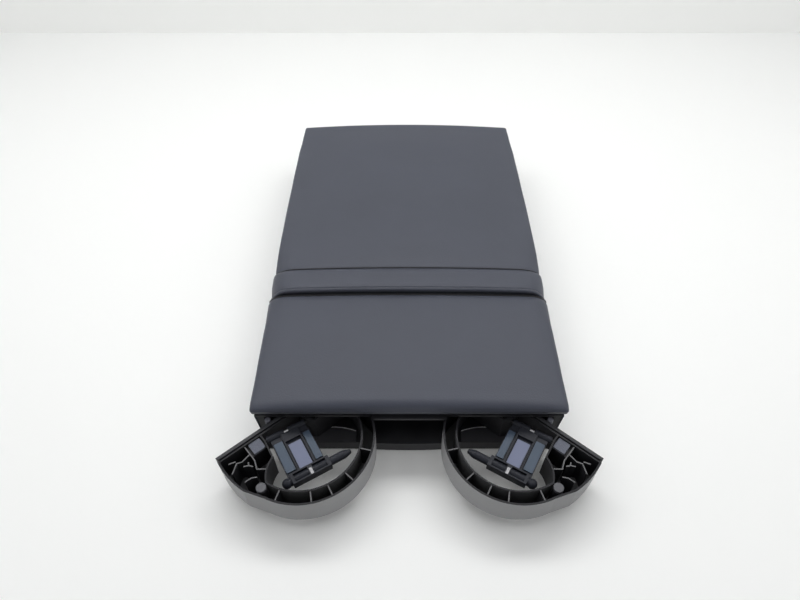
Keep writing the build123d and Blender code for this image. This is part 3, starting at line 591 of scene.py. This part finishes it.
# Rear panel, up to the sharper edge over the hinge end
rear_bow = [
    (BAND_END, 0.0),
    (-0.015, 0.0004),
    (0.045, 0.0004),
    (0.100, -0.0004),
    (0.150, -0.0011),
    (0.190, -0.0026),
    (0.210, -0.0033),
]
rear_line = []
rear_tuck = [(-0.004, 0.0016), (0.0, 0.0014), (0.001, 0.0009), (0.0025, 0.0004), (0.005, 0.0001)]
for gap, drop in rear_tuck:
    rear_line.append((BAND_END + gap, -drop, -drop, 0.0))
rear_line += spaced(BAND_END + 0.009, REAR - 0.0085)
rear_line += rounded(REAR + 0.0028, -1, 0.0026, 0.0020, 0.0009, 0.0030)[::-1]
rear_loop = section(HEIGHT + 0.0010, PAD_Z, CROWN + 0.0010, 0.0026, 0.0012)
rear_pad = bolster("rear_cushion", rear_loop, rear_line, hide, shape=dressed(rear_bow))
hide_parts("rear_panel", "back_foam")
swell(rear_pad, outside(HEIGHT - 0.003, BAND_END + 0.006, REAR - 0.012))

# Band: its section along Y, from under the rolled front edge to the rear seam
band_out = [
    (0.0020, -0.0040),
    (0.0005, -0.0024),
    (0.0000, -0.0008),
    (0.0002, 0.0006),
    (0.0009, 0.0014),
    (0.0018, 0.0017),
    (0.0028, 0.0014),
    (0.0033, 0.0008),
    (0.0037, -0.0002),
    (0.0042, 0.0007),
    (0.0051, 0.0010),
    (0.0100, 0.0013),
    (0.0150, 0.0014),
    (0.0220, 0.0013),
    (0.0266, 0.0010),
    (0.0291, 0.0005),
    (0.0302, -0.0002),
    (0.0306, -0.0012),
    (0.0307, -0.0026),
]
band_bow = [
    (BAND_Y, 0.0006),
    (BAND_Y + 0.006, 0.0006),
    (BAND_Y + 0.015, 0.0012),
    (BAND_Y + 0.027, 0.0013),
    (BAND_END, 0.0014),
]
band_loop = section(HEIGHT, PAD_Z - 0.0002, CROWN, 0.0040, 0.0012)
band_line = [(BAND_Y + y, out, out - 0.0006, 0.0) for y, out in band_out]
band_strip = bolster(
    "band_strip", band_loop, band_line, hide, shape=dressed(band_bow)
)
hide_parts("band")


# Dark strips: a painted shadow in the step in front of the band, and a dark seam line along each of
# its edges
def seam(name, loop, bow, y, width, out):
    """A narrow dark strip over the cushion, sunk at both edges."""
    rows = ((-0.5, -0.0012), (-0.25, 0.0), (0.25, 0.0), (0.5, -0.0012))
    line = [(y + k * width, out + d, out + d, 0.0) for k, d in rows]
    bolster(name, loop, line, seam_and_shadow_black, shape=dressed(bow))


# Painted shadow: a near-black strip over the step in front of the band
seam("step_shadow_strip", front_loop, front_bow, BAND_Y - 0.0006, 0.0036, -0.0003)
seam("front_edge_seam", band_loop, band_bow, BAND_Y + 0.0037, 0.0009, 0.0004)
seam("rear_edge_seam", rear_loop, rear_bow, BAND_END + 0.0004, 0.0009, -0.0004)

# Arm cushion that it lies on, seen from below in use
arm_front = FRONT - LIP + NOSE + GAP
arm_line = rounded(arm_front, 1, 0.005, 0.0006, 0.0035, 0.0048)
arm_line += spaced(arm_front + 0.010, LOW_REAR - 0.010, 0.008)
arm_line += rounded(LOW_REAR, -1, 0.005, 0.0006, 0.0035, 0.0048)[::-1]
arm_loop = section(ARM_PAD, 0.0, 0.0, 0.0012, 0.0046, 0.008)
arm_pad = bolster("arm_cushion", arm_loop, arm_line, hide)
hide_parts("arm_side_cover")


def puffed(name, place, across_n, up_n, replaced, puff=0.0008, edge=0.0016):
    """A leather panel with rolled edges: place(u, v) gives its inner point, normal and extent."""
    points, faces = [], []
    for k in (0, 1):
        for j in range(up_n + 1):
            for i in range(across_n + 1):
                u, v = i / across_n, 0.5 - 0.5 * math.cos(math.pi * (j / up_n))
                base, normal, wide, tall = place(u, v)
                near = min(min(u, 1 - u) * wide, min(v, 1 - v) * tall, edge) / edge
                lift = SKIN * (0.25 + 0.75 * math.sqrt(1 - (1 - near) ** 2))
                lift += puff * math.sin(math.pi * u) ** 0.5 * math.sin(math.pi * v)
                points.append(base + normal * (lift if k else 0.0))
    row = across_n + 1
    layer = row * (up_n + 1)
    for j in range(up_n):
        for i in range(across_n):
            a = j * row + i
            faces.append((a, a + 1, a + 1 + row, a + row))
            faces.append((layer + a, layer + a + row, layer + a + row + 1, layer + a + 1))
    rim = list(range(row)) + [j * row + across_n for j in range(1, up_n + 1)]
    rim += [up_n * row + i for i in range(across_n - 1, -1, -1)]
    rim += [j * row for j in range(up_n - 1, 0, -1)]
    for a, b in zip(rim, rim[1:] + rim[:1]):
        faces.append((a, b, layer + b, layer + a))
    obj = mesh_piece(name, points, faces, hide)
    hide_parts(replaced)


SIDE_LOW = ARM_PAD + GAP
SIDE_Y = FRONT + 0.002


def side_place(sign):
    """The side panel's inner face, between the arm cushion and the back cushion."""

    def place(u, v):
        z = SIDE_LOW + (LID_TOP - SIDE_LOW) * v
        y = SIDE_Y + (CAP_Y - SIDE_Y) * u
        normal = Vector((sign * math.cos(LEAN), 0, -math.sin(LEAN)))
        return Vector((sign * (half(z) - SKIN), y, z)), normal, CAP_Y - SIDE_Y, LID_TOP - SIDE_LOW

    return place


def rear_place(u, v):
    """The rear panel's inner face, between the hinge caps."""
    z = SIDE_LOW + (LID_TOP - SIDE_LOW) * v
    reach = half(z) - 0.003
    point = Vector((-reach + 2 * reach * u, LOW_REAR - SKIN, z))
    return point, Vector((0, 1, 0)), 2 * reach, LID_TOP - SIDE_LOW


puffed("left_side_panel", side_place(-1), 64, 14, "left_side_cover")
puffed("right_side_panel", side_place(1), 64, 14, "right_side_cover")
puffed("rear_end_panel", rear_place, 44, 14, "rear_cover", 0.0005)

# One stitch: place along it, share of the radius, share of the radius that it is sunk
STITCH = [(-0.5, 0.35, 1.0), (-0.3, 0.95, 0.1), (0.0, 1.0, 0.0), (0.3, 0.95, 0.1), (0.5, 0.35, 1.0)]


def stitches(name, path, normals, pitch=0.0044, length=0.0031, radius=0.00034):
    """A row of thread stitches half sunk along a path."""
    points, faces = [], []
    steps = [(b - a).length for a, b in zip(path, path[1:])]
    total = sum(steps)
    count = int(total / pitch)
    for k in range(count):
        at = (k + 0.5) * total / count
        i = 0
        while i < len(steps) - 1 and at > steps[i]:
            at -= steps[i]
            i += 1
        t = at / steps[i]
        centre = path[i].lerp(path[i + 1], t)
        along = (path[i + 1] - path[i]).normalized()
        up = normals[i].lerp(normals[i + 1], t).normalized()
        side = along.cross(up)
        base = len(points)
        for s, r, sink in STITCH:
            ring = centre + along * (s * length) - up * (sink * radius)
            for j in range(6):
                a = 2 * math.pi * j / 6
                points.append(ring + (side * math.cos(a) + up * math.sin(a)) * (radius * r))
        for m in range(4):
            for j in range(6):
                a, b = base + m * 6 + j, base + m * 6 + (j + 1) % 6
                faces.append((a, b, b + 6, a + 6))
        faces.append(tuple(base + j for j in range(6)))
        faces.append(tuple(base + 24 + j for j in range(6)))
    mesh_piece(name, points, faces, thread)


stitch_z = LID_TOP - STITCH_DOWN
for sign, side in ((-1, "left"), (1, "right")):
    normal = Vector((sign * math.cos(LEAN), 0, -math.sin(LEAN)))
    x = sign * (half(stitch_z) + 0.0001)
    run = CAP_Y - SIDE_Y - 0.012
    row = [Vector((x, SIDE_Y + 0.006 + run * i / 60, stitch_z)) for i in range(61)]
    stitches(side + "_panel_stitches", row, [normal] * 61)
reach = half(stitch_z) - 0.008
row = [Vector((-reach + 2 * reach * i / 50, LOW_REAR + 0.0001, stitch_z)) for i in range(51)]
stitches("rear_panel_stitches", row, [Vector((0, 1, 0))] * 51)


# The sills' rear edges: a painted highlight line along each arch
def sill_highlight(name, sign, wide=0.0007, tall=0.0004):
    """A narrow raised line just inside the sill's arched edge, near white as a painted highlight.
    """
    points, faces = [], []
    rows = 32
    low, high = SILL_Z - 0.0002, SILL_Z + tall
    for i in range(rows + 1):
        t = 2 * i / rows - 1
        x, y = sign * (SILL_X + SILL_HALF * t), SILL_Y - SILL_ARCH * t * t
        for dy, z in ((-wide, low), (-wide, high), (0, high), (0, low)):
            points.append(Vector((x, y + dy, z)))
    for i in range(rows):
        for k in range(4):
            a, b = 4 * i + k, 4 * i + (k + 1) % 4
            faces.append((a, b, b + 4, a + 4))
    faces += [(0, 1, 2, 3), tuple(4 * rows + k for k in range(4))]
    mesh_piece(name, points, faces, painted_highlight_grey, smooth=False)


sill_highlight("left_sill_edge", -1)
sill_highlight("right_sill_edge", 1)

# Fine rounded edges on the moulded parts that have no fillets, so that they catch the light
for name, node in frame["nodes"].items():
    if name.endswith("_foot_rod"):
        continue
    if slot_of[name] in ("black_plastic", "flap_plastic", "rod_plastic", "grey_plastic"):
        edge = node.modifiers.new("edge", "BEVEL")
        edge.width = EDGE_ROUND
        edge.segments = 2
        edge.limit_method = "ANGLE"
        edge.angle_limit = math.radians(35)
        flat = node.modifiers.new("flat", "WEIGHTED_NORMAL")
        flat.keep_sharp = True


def looking(tree):
    """1 for the rays that show a background: seen, mirrored or through glass."""
    path = tree.nodes.new("ShaderNodeLightPath")
    seen = calc(tree, "MAXIMUM", path.outputs["Is Camera Ray"], path.outputs["Is Glossy Ray"])
    return calc(tree, "MAXIMUM", seen, path.outputs["Is Transmission Ray"])


# Light: a room that is brighter behind and beside the part than in front of it, and soft lamps
world = bpy.data.worlds.new("studio")
scene.world = world
world.use_nodes = True
sky = world.node_tree
sky_shade = sky.nodes["Background"]
look = sky.nodes.new("ShaderNodeTexCoord")
split = sky.nodes.new("ShaderNodeSeparateXYZ")
sky.links.new(look.outputs["Generated"], split.inputs["Vector"])
beside = calc(sky, "POWER", calc(sky, "ABSOLUTE", split.outputs["X"]), 2.0)
beside = calc(sky, "MULTIPLY_ADD", beside, 0.5, 0.5)
behind = calc(sky, "MULTIPLY_ADD", split.outputs["Y"], 0.5, beside)
tone = ramp(sky, behind, (0.16, 0.162, 0.165), (0.52, 0.525, 0.53), 0.05, 0.75)
haze = add_node(sky, "ShaderNodeMapRange")
for key, value in (("From Min", 0.3), ("From Max", 0.6), ("To Min", 1.0), ("To Max", 0.0)):
    haze.inputs[key].default_value = value
sky.links.new(split.outputs["Z"], haze.inputs["Value"])
shown = add_node(sky, "ShaderNodeMix", data_type="RGBA")
sky.links.new(calc(sky, "MULTIPLY", looking(sky), haze.outputs["Result"]), shown.inputs[0])
sky.links.new(tone, shown.inputs[6])
shown.inputs[7].default_value = (0.86, 0.865, 0.86, 1)
sky.links.new(shown.outputs[2], sky_shade.inputs["Color"])
sky_shade.inputs["Strength"].default_value = 1.0


def lamp(name, place, aim, size, power):
    """A soft rectangular lamp aimed at a point."""
    data = bpy.data.lights.new(name, "AREA")
    data.shape = "RECTANGLE"
    data.size, data.size_y = size
    data.energy = power
    obj = bpy.data.objects.new(name, data)
    obj.location = place
    obj.rotation_euler = (Vector(aim) - Vector(place)).to_track_quat("-Z", "Y").to_euler()
    scene.collection.objects.link(obj)


lamp("key", (0, 0.35, 0.96), (0, -0.2, 0.03), (1.6, 0.25), 6.9)
for sign, side in ((-1, "left"), (1, "right")):
    lamp(side + "_fill", (sign * 1.3, -0.2, 1.25), (0, -0.2, 0.03), (0.9, 0.9), 3.1)
lamp("top", (0, -0.3, 1.5), (0, -0.2, 0.03), (1.2, 0.7), 1.5)


# Table and wall: pale, and lifted a little where the camera sees them
def pale(name, colour, lift, points):
    """A stage plane that keeps the shadow, with a small glow for what looks at it."""
    mat, tree, shader = material(name)
    shader.inputs["Base Color"].default_value = (*colour, 1)
    shader.inputs["Roughness"].default_value = 0.5
    shader.inputs["Emission Color"].default_value = (*colour, 1)
    tree.links.new(calc(tree, "MULTIPLY", looking(tree), lift), shader.inputs["Emission Strength"])
    mesh = bpy.data.meshes.new(name)
    mesh.from_pydata(points, [], [(0, 1, 2, 3)])
    mesh.materials.append(mat)
    obj = bpy.data.objects.new(name, mesh)
    scene.collection.objects.link(obj)


near_edge = [(-4, -3, 0), (4, -3, 0)]
corner_line = [(4, WALL_Y, 0), (-4, WALL_Y, 0)]
wall_top = [(4, WALL_Y, 2.0), (-4, WALL_Y, 2.0)]
pale("table", (0.92, 0.925, 0.915), 0.05, near_edge + corner_line)
pale("wall", (0.84, 0.845, 0.83), 0.24, corner_line[::-1] + wall_top)

# Camera fitted to the photograph's outline of the back face
camera_data = bpy.data.cameras.new("camera")
camera_data.sensor_width = 36.0
camera_data.lens = 26.1
camera_data.clip_start = 0.01
camera = bpy.data.objects.new("camera", camera_data)
camera.location = (-0.0078, FRONT - 0.2556, 0.4829)
camera.rotation_euler = (math.radians(90 - 48.135), 0, 0)
scene.collection.objects.link(camera)
scene.camera = camera
scene.view_settings.view_transform = "Standard"
